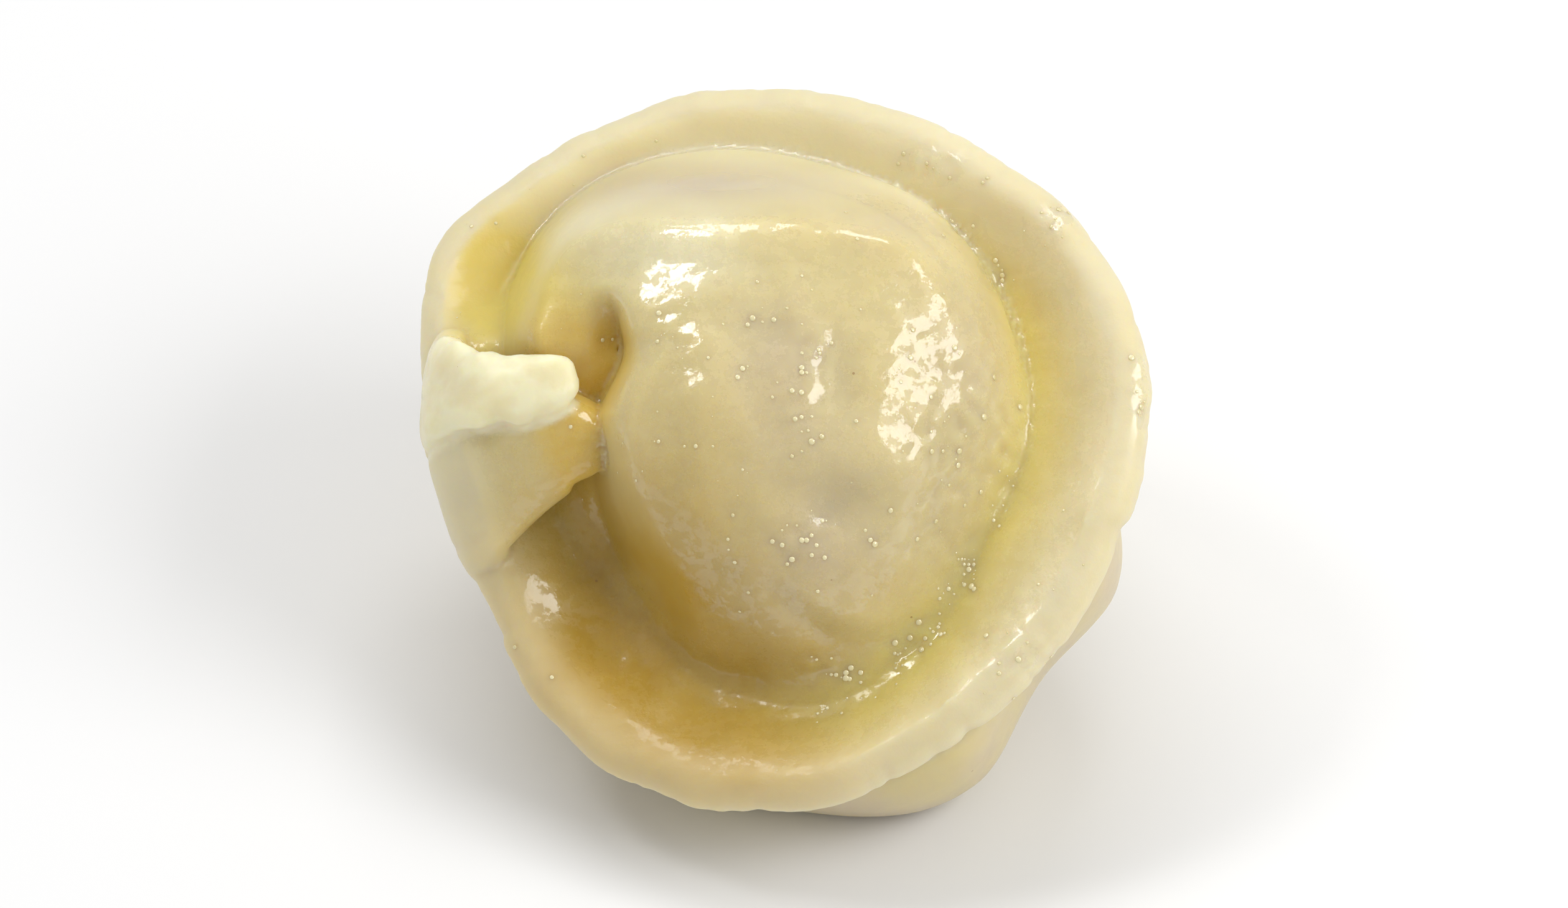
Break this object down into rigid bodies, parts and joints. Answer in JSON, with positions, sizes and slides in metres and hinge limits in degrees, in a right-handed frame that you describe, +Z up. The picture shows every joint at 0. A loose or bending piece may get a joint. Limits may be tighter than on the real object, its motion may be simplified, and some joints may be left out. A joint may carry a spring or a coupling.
{
  "type": "boiled dumpling",
  "caption": "Boiled filled dumpling: a folded wrapper with a flaring pressed brim round a full belly and its two corners pinched together.",
  "frame": {"origin": "on the surface the dumpling rests on, under the middle of its box", "axes": "+Z up; +X to the right of the belly's open face, away from the pinched corners; the open face looks up and towards -Y"},
  "size_m": [0.0434, 0.0422, 0.0316],
  "materials": {
    "dough": "wet satin"
  },
  "bodies": {
    "root": {"dumpling": "dough"}
  },
  "joints": []
}
